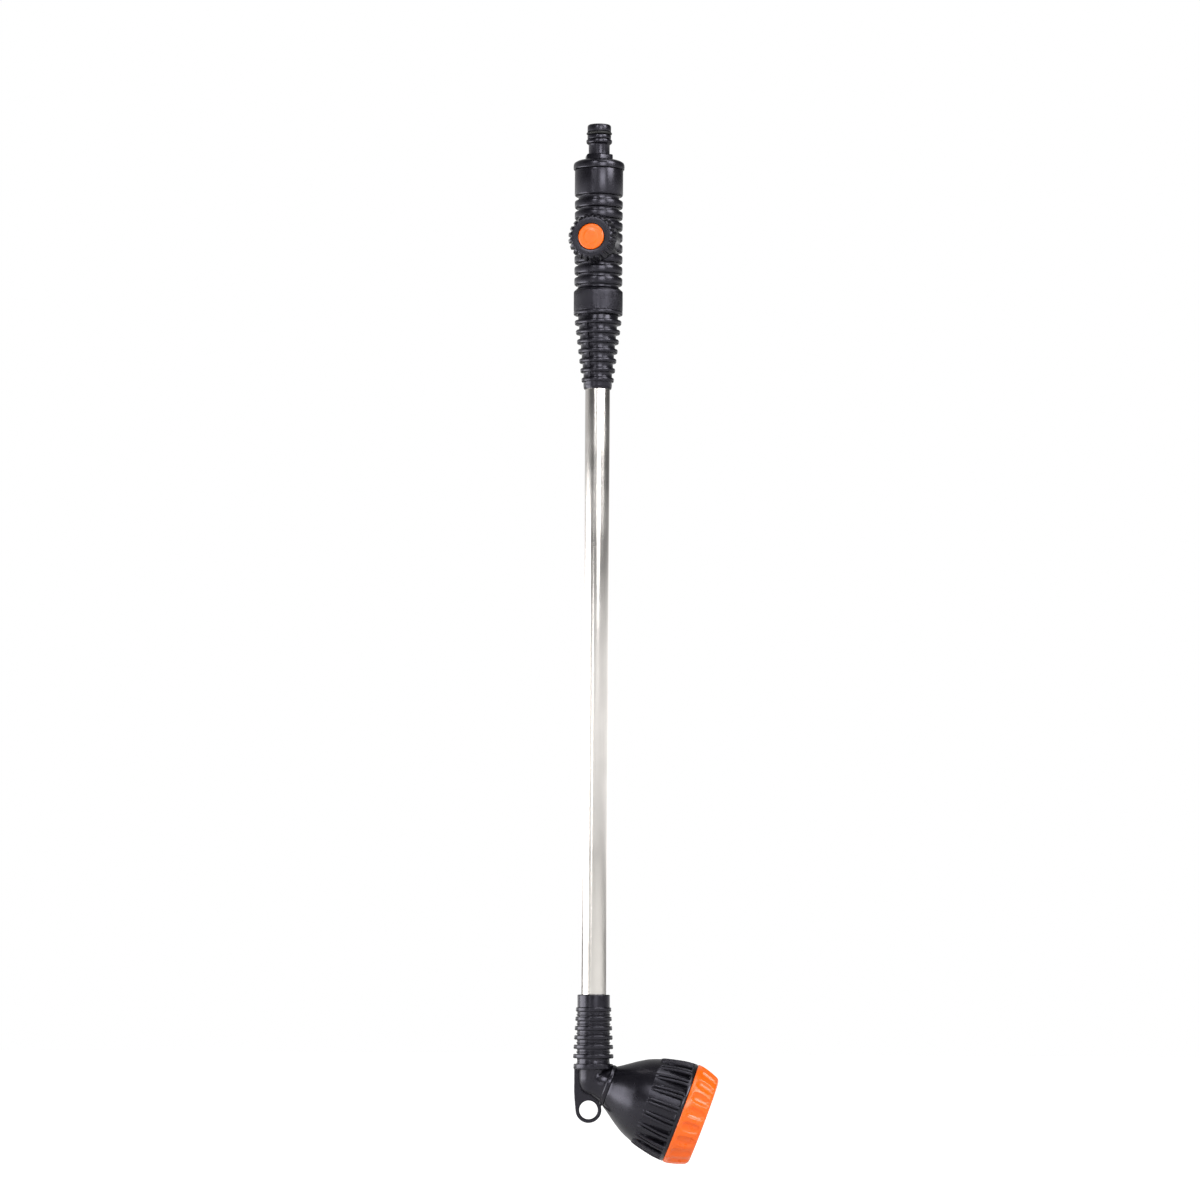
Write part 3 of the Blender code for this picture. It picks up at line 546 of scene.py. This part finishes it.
def makeHeadGrip():
    g = headGrip
    low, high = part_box("head_grip_sleeve")
    top, end = high.z / mm, low.z / mm - g["press"]      # pressed down until only a fine line is left
    half = g["width"] / 2
    corners = [(g["core"], top, 0.8)]
    for index in range(g["ribs"]):
        centre = g["first"] - index * g["pitch"]
        rib = stepBetween(g["rib"], index, g["ribs"])
        floor = centre - half - (g["pitch"] - g["width"]) / 2      # a fine step halfway down the groove
        corners += [(g["core"], centre + half, 0.2), (rib, centre + half, g["rounding"]),
                    (rib, centre - half, g["rounding"]), (g["core"], centre - half, 0.2),
                    (g["core"], floor + 0.2, 0.1), (g["core"] + g["step"], floor, 0.1),
                    (g["core"] + g["step"], floor - 0.7, 0.2), (g["core"], floor - 0.9, 0.1)]
    corners = corners[:-3]                                     # the last rib has no groove below it
    corners += [(g["core"] + g["step"], end, 0.1), (g["bore"], end, 0.1), (g["bore"], top, 0.2)]
    mount(turnedPiece("headGrip", corners), blackAbs, "lance", "head_grip_sleeve")


# elbow and hanging ring, down to the seat that the rose is screwed onto
elbow = {"cross": -642.2, "tail": 6.9, "tailTop": -606.0, "grooves": (-612.0, -620.0), "grooveR": 5.9,
         "grooveHalf": 0.9, "collar": 13.2, "collarTop": -631.5, "collarEnd": -635.2, "pipe": 10.0,
         "bore": 4.6, "seat": 14.2, "seatWidth": 2.7, "seatAt": 11.7, "neck": 9.0, "neckEnd": 11.0,
         "ring": (-3.0, -662.1), "ringHole": 6.15, "ringOuter": 8.65, "ringThick": 3.0}


def arc(centre, radius, start, end, count):
    angles = [math.radians(start + (end - start) * index / (count - 1)) for index in range(count)]
    return [(centre[0] + radius * math.cos(a), centre[1] + radius * math.sin(a)) for a in angles]


def makeRingPlate():
    # the flat tab stands in the wand's plane of symmetry and is rounded at its rim
    e = elbow
    shape = bmesh.new()
    # (x, z) from inside the collar down the left edge, round the ring and up again
    outline = [(-2, -634), (-12.7, -634), (-12.7, -650), (-12.4, -655)]
    outline += arc(e["ring"], e["ringOuter"], 184, 360, 34) + [(4.9, -655), (2, -645)]
    side = -e["ringThick"] / 2 * mm
    face = shape.faces.new([shape.verts.new((x * mm, side, z * mm)) for x, z in outline])
    grown = bmesh.ops.extrude_face_region(shape, geom=[face])
    moved = [item for item in grown["geom"] if isinstance(item, bmesh.types.BMVert)]
    bmesh.ops.translate(shape, verts=moved, vec=(0, e["ringThick"] * mm, 0))
    bmesh.ops.recalc_face_normals(shape, faces=shape.faces)
    rim = [edge for edge in shape.edges if abs(edge.verts[0].co.y - edge.verts[1].co.y) < 0.0001]
    bmesh.ops.bevel(shape, geom=rim, offset=0.6 * mm, offset_type="OFFSET", affect="EDGES", segments=3,
                    profile=0.5, material=-1)
    plate = toPiece(shape, "ringPlate")
    centre = Matrix.Translation((e["ring"][0] * mm, 0, e["ring"][1] * mm))
    turn = centre @ Matrix.Rotation(math.pi / 2, 4, "X")
    half = e["ringThick"] / 2
    wide = e["ringHole"] + 1.6
    hole = turnedPiece("ringHoleTool", [
        (0, half + 1, 0), (wide, half + 1, 0), (e["ringHole"], half - 0.5, 0.3),
        (e["ringHole"], -half + 0.5, 0.3), (wide, -half - 1, 0), (0, -half - 1, 0)], turn, 64)
    return applyTools(plate, [(hole, "DIFFERENCE")])


def makeElbow():
    e = elbow
    corners = [(0, e["tailTop"], 0), (e["tail"], e["tailTop"], 0.6)]
    for groove in e["grooves"]:
        top, end = groove + e["grooveHalf"], groove - e["grooveHalf"]
        corners += [(e["tail"], top), (e["grooveR"], top), (e["grooveR"], end), (e["tail"], end)]
    # the collar, then the pipe down to a round closed end below the crossing
    corners += [(e["tail"], e["collarTop"], 0), (e["collar"], e["collarTop"], 0.5),
                (e["collar"], e["collarEnd"], 0.8), (e["pipe"], e["collarEnd"], 0.3),
                (e["pipe"], e["cross"] - 3, 4.5), (6.8, e["cross"] - 9.2, 3), (0, e["cross"] - 10.2, 0)]
    pipe = turnedPiece("elbowBody", corners)
    branch = turnedPiece("branchTool", [
        (0, e["neckEnd"], 0), (e["neck"], e["neckEnd"], 0.3), (e["neck"], 0, 0), (e["seat"], 0, 0.5),
        (e["seat"], -e["seatWidth"], 0.6), (12.2, -e["seatWidth"], 0.4), (9.8, -e["seatAt"], 0),
        (0, -e["seatAt"] - 2, 0)], roseFrame)
    bore = rodTool("boreTool", e["bore"], e["cross"] - 2, e["tailTop"] + 5)
    branchBore = rodTool("branchBoreTool", e["bore"] + 0.2, -e["seatAt"], e["neckEnd"] + 5, roseFrame)
    applyTools(pipe, [(branch, "UNION"), (makeRingPlate(), "UNION"), (bore, "DIFFERENCE"),
                      (branchBore, "DIFFERENCE")])
    mount(pipe, blackAbs, "lance", "elbow_body")


# heights on the rose are counted along its axis, from its seat
rose = {"seat": 14.2, "ribs": 20, "ribPhase": -2.7, "ribStart": 26.0, "ribEnd": 48.2, "lip": 34.1,
        "lipEnd": 50.1, "rim": 29.8, "rimEnd": 58.0, "rimBore": 27.4, "landEnd": 31.0, "nose": 2.0,
        "ridge": 4.75, "step": 0.5, "sinkFrom": 17.0,
        # the bell outside as (height, radius), and inside as (radius, height), down to its inlet
        "flare": [(0.3, 14.2), (3.0, 15.9), (7.4, 19.0), (11.7, 22.0), (18.1, 25.9), (25.8, 29.5),
                  (34.8, 32.0), (42.9, 33.6), (48.9, 34.1)],
        "inside": [(27.4, 27.0), (23.2, 18.1), (19.4, 11.7), (16.4, 7.4), (13.2, 3.5), (11.3, 3.5),
                   (11.3, 14.0), (5.4, 14.0), (5.4, 12.6), (9.3, 12.6), (9.3, 0.06)],
        # half of one pair of ridges: degrees from the slit between them, and the depth there
        "columns": (0, 0.28, 0.5, 0.66, 0.9, 1.3, 1.8, 2.4, 3.0, 3.5, 3.9, 4.25, 4.5, 4.75, 5.1, 6.6, 9.0),
        "slit": ((0.28, 1.7), (0.5, 1.3), (0.66, 0.8), (0.9, 0.5), (1.3, 0.22), (1.8, 0.06), (2.4, 0.0)),
        "side": ((2.4, 0.0), (3.0, 0.04), (3.5, 0.16), (3.9, 0.34), (4.25, 0.62), (4.5, 1.0), (4.75, 1.9),
                 (5.1, 4.0))}


def flareAt(height):
    # the bell's outer radius, a smooth curve through the widths of the flare
    points = rose["flare"]
    height = min(max(height, points[0][0]), points[-1][0])
    index = max(i for i, point in enumerate(points[:-1]) if height >= point[0] - 1e-9)
    (x0, y0), (x1, y1) = points[index], points[index + 1]
    before = points[index - 1] if index else (2 * x0 - x1, 2 * y0 - y1)
    after = points[index + 2] if index + 2 < len(points) else (2 * x1 - x0, 2 * y1 - y0)
    slope0 = (y1 - before[1]) / (x1 - before[0])
    slope1 = (after[1] - y0) / (after[0] - x0)
    t = (height - x0) / (x1 - x0)
    span = x1 - x0
    return ((2 * t ** 3 - 3 * t ** 2 + 1) * y0 + (t ** 3 - 2 * t ** 2 + t) * span * slope0
            + (-2 * t ** 3 + 3 * t ** 2) * y1 + (t ** 3 - t ** 2) * span * slope1)


def alongKnots(knots, value):
    # straight lines between (value, result) pairs
    if value <= knots[0][0]:
        return knots[0][1]
    for (x0, y0), (x1, y1) in zip(knots, knots[1:]):
        if value <= x1:
            return y0 + (y1 - y0) * (value - x0) / (x1 - x0)
    return knots[-1][1]


def gatherColumns(shape, count, phase, columns):
    # turns the evenly spun columns so that each repeat has them where the detail is
    pitch = 360 / count
    last = len(columns) - 1
    knots = [(index * pitch / 2 / last, angle) for index, angle in enumerate(columns)]
    for vert in shape.verts:
        angle = math.degrees(math.atan2(vert.co.y, vert.co.x))
        offset = (angle + pitch / 2) % pitch - pitch / 2
        wanted = math.copysign(alongKnots(knots, abs(offset)), offset)
        vert.co.xy = Matrix.Rotation(math.radians(wanted - offset + phase), 2) @ vert.co.xy


def makeRoseShell():
    r = rose
    shape = bmesh.new()
    outside = [(flareAt(height), height) for height in [0.3 + index * 1.34 for index in range(1, 20)]]
    # rings of points along the ridges stand closest at both ends, where the ridges are rounded
    starts = [0, 0.25, 0.55, 0.95, 1.4, 2.0, 2.8]
    middles = [4 + index * 1.45 for index in range(12)]
    ends = [21.0, 21.5, 21.9, 22.2]
    for step in starts + middles + ends:
        outside.append((flareAt(r["ribStart"] + step), r["ribStart"] + step))
    corners = [(r["seat"] - 0.3, 0.06), (r["seat"], 0.35)] + outside
    corners += [(r["lip"] - 0.02, r["ribEnd"] + 0.5), (r["lip"], r["lipEnd"] - 0.3),
                (r["lip"] - 0.3, r["lipEnd"]), (r["rim"], r["lipEnd"]), (r["rim"], r["rimEnd"]),
                (r["rimBore"], r["rimEnd"])] + r["inside"]
    drawOutline(shape, corners)
    spinShape(shape, r["ribs"] * (len(r["columns"]) - 1) * 2)
    gatherColumns(shape, r["ribs"], r["ribPhase"], r["columns"])
    pitch = 360 / r["ribs"]
    landStart = flareAt(r["ribStart"])

    def ribAt(angle, radius, height):
        past = height - r["ribStart"]
        if radius < flareAt(height) - 1 or height > r["ribEnd"] + 0.01:
            return 0
        if past < 0:                                              # the bell dips before the ridges start
            return r["step"] * fade(height, r["sinkFrom"], r["ribStart"])
        fromSlit = abs((angle - r["ribPhase"] + pitch / 2) % pitch - pitch / 2)
        along = past / (r["ribEnd"] - r["ribStart"])
        land = flareAt(height) - (landStart + (r["landEnd"] - landStart) * along) + r["step"]
        nose = min(past / r["nose"], 1)
        blunt = math.sqrt(1 - (1 - nose) ** 2)                    # the ridges begin with a round nose
        middle = (r["ridge"] + 0.5) / 2
        spread = middle + (fromSlit - middle) / max(blunt, 0.05)  # narrower there, about its middle
        slit = alongKnots(r["slit"], spread)
        side = alongKnots(r["side"], spread)
        depth = min(max(slit, side) + (1 - blunt) * 0.5, land)
        return depth * (1 - fade(height, r["ribEnd"] - 0.9, r["ribEnd"]))

    sink(shape, ribAt)
    mount(toPiece(shape, "roseShell", roseFrame, 50), blackAbs, "lance", "rose_shell")


bezel = {"back": 50.4, "front": 66.8, "outer": 34.3, "bore": 30.1, "lipBack": 61.2, "window": 24.0,
         "scallops": 20, "phase": -6.5, "scallopStart": 52.7, "scallopEnd": 65.9, "halfWidth": 6.7,
         "depth": 1.75}


def makeBezel():
    b = bezel
    shape = bmesh.new()
    drawOutline(shape, [
        (b["bore"], b["back"], 0.1), (b["outer"] - 0.4, b["back"], 0.1),
        (b["outer"], b["back"] + 0.5, 0.2), (b["outer"] - 0.1, 53.4, 1), (33.2, 58.0, 3),
        (31.3, 63.2, 2), (30.3, 65.6, 0.9), (28.6, b["front"], 0.8),
        (b["window"] + 1.0, b["front"], 0.5), (b["window"], 65.6, 0.4),
        (b["window"] + 0.6, b["lipBack"], 0.1), (b["bore"], b["lipBack"], 0)])
    spinShape(shape, b["scallops"] * 20)
    splitLongEdges(shape, b["scallopStart"] - 0.6, b["scallopEnd"] + 0.4, 26)
    pitch = 360 / b["scallops"]
    middle = (b["scallopStart"] + b["scallopEnd"]) / 2
    halfLength = (b["scallopEnd"] - b["scallopStart"]) / 2

    def scallopAt(angle, radius, height):
        if radius < b["bore"] - 1.9:
            return 0
        across = abs((angle - b["phase"] + pitch / 2) % pitch - pitch / 2) / b["halfWidth"]
        along = abs(height - middle) / halfLength
        inside = max(1 - across ** 2.2 - along ** 4, 0)           # a round dish with blunt ends
        return b["depth"] * inside ** 0.8

    sink(shape, scallopAt)
    mount(toPiece(shape, "bezelRing", roseFrame, 50), orangeAbs, "bezel", "bezel_ring")


rosePlate = {"outer": 29.7, "back": 59.9, "gauge": 1.0, "rise": 2.0, "foot": 23.5, "shoulder": 22.0,
             "hole": 0.8, "rings": ((5, 6), (10, 12), (15, 18), (20, 24))}


def makeRosePlate():
    p = rosePlate
    back, front = p["back"], p["back"] + p["gauge"]
    backRise, frontRise = back + p["rise"], front + p["rise"]
    plate = turnedPiece("rosePlate", [
        (0, frontRise - 1.0, 0), (2.6, frontRise, 1.2), (p["shoulder"], frontRise, 0.8),
        (p["foot"], front, 0.6), (p["outer"], front, 0.2), (p["outer"], back, 0.2), (p["foot"], back, 0.6),
        (p["shoulder"], backRise, 0.8), (2.6, backRise, 1.2), (0, backRise - 1.0, 0)], roseFrame)
    shape = bmesh.new()
    for radius, count in p["rings"]:
        for index in range(count):
            angle = 2 * math.pi * (index + 0.5) / count
            made = bmesh.ops.create_cone(shape, cap_ends=True, segments=12, radius1=p["hole"] * mm,
                                         radius2=p["hole"] * mm, depth=8 * mm)
            bmesh.ops.translate(shape, verts=made["verts"], vec=(
                radius * math.cos(angle) * mm, radius * math.sin(angle) * mm, (front + 1) * mm))
    applyTools(plate, [(toPiece(shape, "holesTool", roseFrame), "DIFFERENCE")])
    mount(plate, stainlessSheet, "spray_plate", "rose_plate")


makeHoseNipple()
makeSealRing()
makeEndCap()
print("inlet made")
makeValveBody()
makeKnob()
makeKnobCap()
print("valve made")
makeUnionNut()
makeTaperSleeve()
makeLanceTube()
makeHeadGrip()
print("lance made")
makeElbow()
makeRoseShell()
makeBezel()
makeRosePlate()
print("rose made")

# the pieces inside keep their CAD shape and get a finish
insideFinishes = {
    nitrileRubber: ["cap_seal", "swivel_seal", "stem_o_ring_inner", "stem_o_ring_outer", "tube_o_ring",
                    "elbow_o_ring_upper", "elbow_o_ring_lower", "rose_joint_washer", "rose_gasket"],
    whitePtfe: ["ball_seat_inlet", "ball_seat_outlet", "valve_ball", "nut_slip_washer"],
    blackAbs: ["seat_carrier", "stem_bonnet", "tube_spigot"],
    turnedBrass: ["valve_stem"],
    stainlessSheet: ["knob_screw"],
}
for material, names in insideFinishes.items():
    for name in names:
        frame["nodes"][name].material_slots[0].material = material


# strengths of the white world; each ramp is the stretch of a direction over which it changes
studio = {"horizon": 1.07, "above": 0.06, "aboveRamp": (0.07, 0.14), "below": 0.1,
          "belowRamp": (-0.16, -0.04), "behind": 0.45, "behindWay": (-0.5, 0.87, 0),
          "behindRamp": (0.1, 1.0), "backdrop": 1.0, "floorDrop": 0.06, "floorGlow": 1.0}
camera = {"lens": 150.25, "place": (0.0025, -3.35, -0.57), "aim": (0.0025, 0, -0.3217), "roll": 0.37}


def makeFloor():
    # an opal light table: pale, and lit from inside so that it looks as white as the backdrop
    shape = bmesh.new()
    bmesh.ops.create_grid(shape, x_segments=4, y_segments=4, size=8)
    bmesh.ops.translate(shape, verts=shape.verts, vec=(0, 0, cadBox[0][2] - studio["floorDrop"]))
    floor = toPiece(shape, "floor")
    material, tree, shader = startMaterial("opal acrylic light table", {
        "Base Color": linear("#DCDCDA"), "Roughness": 0.8, "Specular IOR Level": 0.1})
    glow = addNode(tree, "ShaderNodeEmission", values={"Strength": studio["floorGlow"]})
    both = addNode(tree, "ShaderNodeAddShader", links={0: shader.outputs[0], 1: glow.outputs[0]})
    ray = addNode(tree, "ShaderNodeLightPath")
    mixed = addNode(tree, "ShaderNodeMixShader", links={
        0: ray.outputs["Is Camera Ray"], 1: shader.outputs[0], 2: both.outputs[0]})
    tree.links.new(mixed.outputs[0], tree.nodes["Material Output"].inputs["Surface"])
    floor.data.materials.append(material)


def addSoftbox(name, place, aim, size, brightness):
    light = bpy.data.lights.new(name, "AREA")
    light.shape = "RECTANGLE"
    light.size, light.size_y = size
    light.energy = brightness * math.pi * light.size * light.size_y
    lamp = bpy.data.objects.new(name, light)
    lamp.location = place
    lamp.rotation_euler = (Vector(aim) - Vector(place)).to_track_quat("-Z", "Y").to_euler()
    bpy.context.collection.objects.link(lamp)


def makeWorld():
    # a white room, brightest along the horizon and behind the wand on its left
    world = bpy.data.worlds.new("white studio")
    world.use_nodes = True
    tree = world.node_tree
    tree.nodes.clear()
    direction = addNode(tree, "ShaderNodeTexCoord").outputs["Generated"]
    split = addNode(tree, "ShaderNodeSeparateXYZ", links={"Vector": direction})
    upper = addNode(tree, "ShaderNodeMapRange", {"interpolation_type": "SMOOTHSTEP"}, {
        "From Min": studio["aboveRamp"][0], "From Max": studio["aboveRamp"][1],
        "To Min": studio["horizon"], "To Max": studio["above"]}, {"Value": split.outputs["Z"]})
    lower = addNode(tree, "ShaderNodeMapRange", {"interpolation_type": "SMOOTHSTEP"}, {
        "From Min": studio["belowRamp"][0], "From Max": studio["belowRamp"][1],
        "To Min": studio["below"] - studio["horizon"], "To Max": 0}, {"Value": split.outputs["Z"]})
    backLeft = addNode(tree, "ShaderNodeVectorMath", {"operation": "DOT_PRODUCT"}, {
        1: studio["behindWay"]}, {0: direction})
    behind = addNode(tree, "ShaderNodeMapRange", {"interpolation_type": "SMOOTHSTEP"}, {
        "From Min": studio["behindRamp"][0], "From Max": studio["behindRamp"][1],
        "To Min": 0, "To Max": studio["behind"]}, {"Value": backLeft.outputs["Value"]})
    band = addNode(tree, "ShaderNodeMath", {"operation": "ADD"}, None, {
        0: upper.outputs["Result"], 1: lower.outputs["Result"]})
    total = addNode(tree, "ShaderNodeMath", {"operation": "ADD"}, None, {
        0: band.outputs[0], 1: behind.outputs["Result"]})
    lit = addNode(tree, "ShaderNodeBackground", links={"Strength": total.outputs[0]})
    lit.inputs["Color"].default_value = (1, 1, 1, 1)
    seen = addNode(tree, "ShaderNodeBackground", values={
        "Color": (1, 1, 1, 1), "Strength": studio["backdrop"]})
    ray = addNode(tree, "ShaderNodeLightPath")
    mixed = addNode(tree, "ShaderNodeMixShader", links={
        0: ray.outputs["Is Camera Ray"], 1: lit.outputs[0], 2: seen.outputs[0]})
    addNode(tree, "ShaderNodeOutputWorld", links={"Surface": mixed.outputs[0]})
    bpy.context.scene.world = world
    bpy.context.scene.view_settings.view_transform = "Standard"      # whites stay white, as on paper


def makeCamera():
    data = bpy.data.cameras.new("camera")
    data.lens = camera["lens"]
    data.sensor_width = 36
    data.clip_end = 50
    viewer = bpy.data.objects.new("camera", data)
    place = Vector(camera["place"])
    look = (Vector(camera["aim"]) - place).to_track_quat("-Z", "Y").to_matrix().to_4x4()
    roll = Matrix.Rotation(math.radians(camera["roll"]), 4, "Z")
    viewer.matrix_world = Matrix.Translation(place) @ look @ roll
    bpy.context.collection.objects.link(viewer)
    bpy.context.scene.camera = viewer


makeFloor()
makeWorld()
addSoftbox("front box", (0.8, -2.6, 0.52), (0, 0, -0.2), (1.2, 0.64), 8.5)
addSoftbox("left wing", (-0.75, -2.1, 1.0), (0, 0, -0.6), (0.6, 1.0), 8.0)
addSoftbox("left box", (-0.8, -0.06, -0.52), (0, 0, -0.5), (0.76, 0.78), 4.8)
addSoftbox("top box", (0.6, -0.4, 1.4), (0, 0, -0.6), (1.0, 1.0), 4.0)
addSoftbox("right box", (2.2, -1.4, 1.15), (0, 0, -0.6), (1.4, 1.2), 10.0)
addSoftbox("left strip", (-1.1, -2.05, -0.5), (0, 0, -0.4), (0.16, 1.0), 5.0)
makeCamera()
print("studio ready")
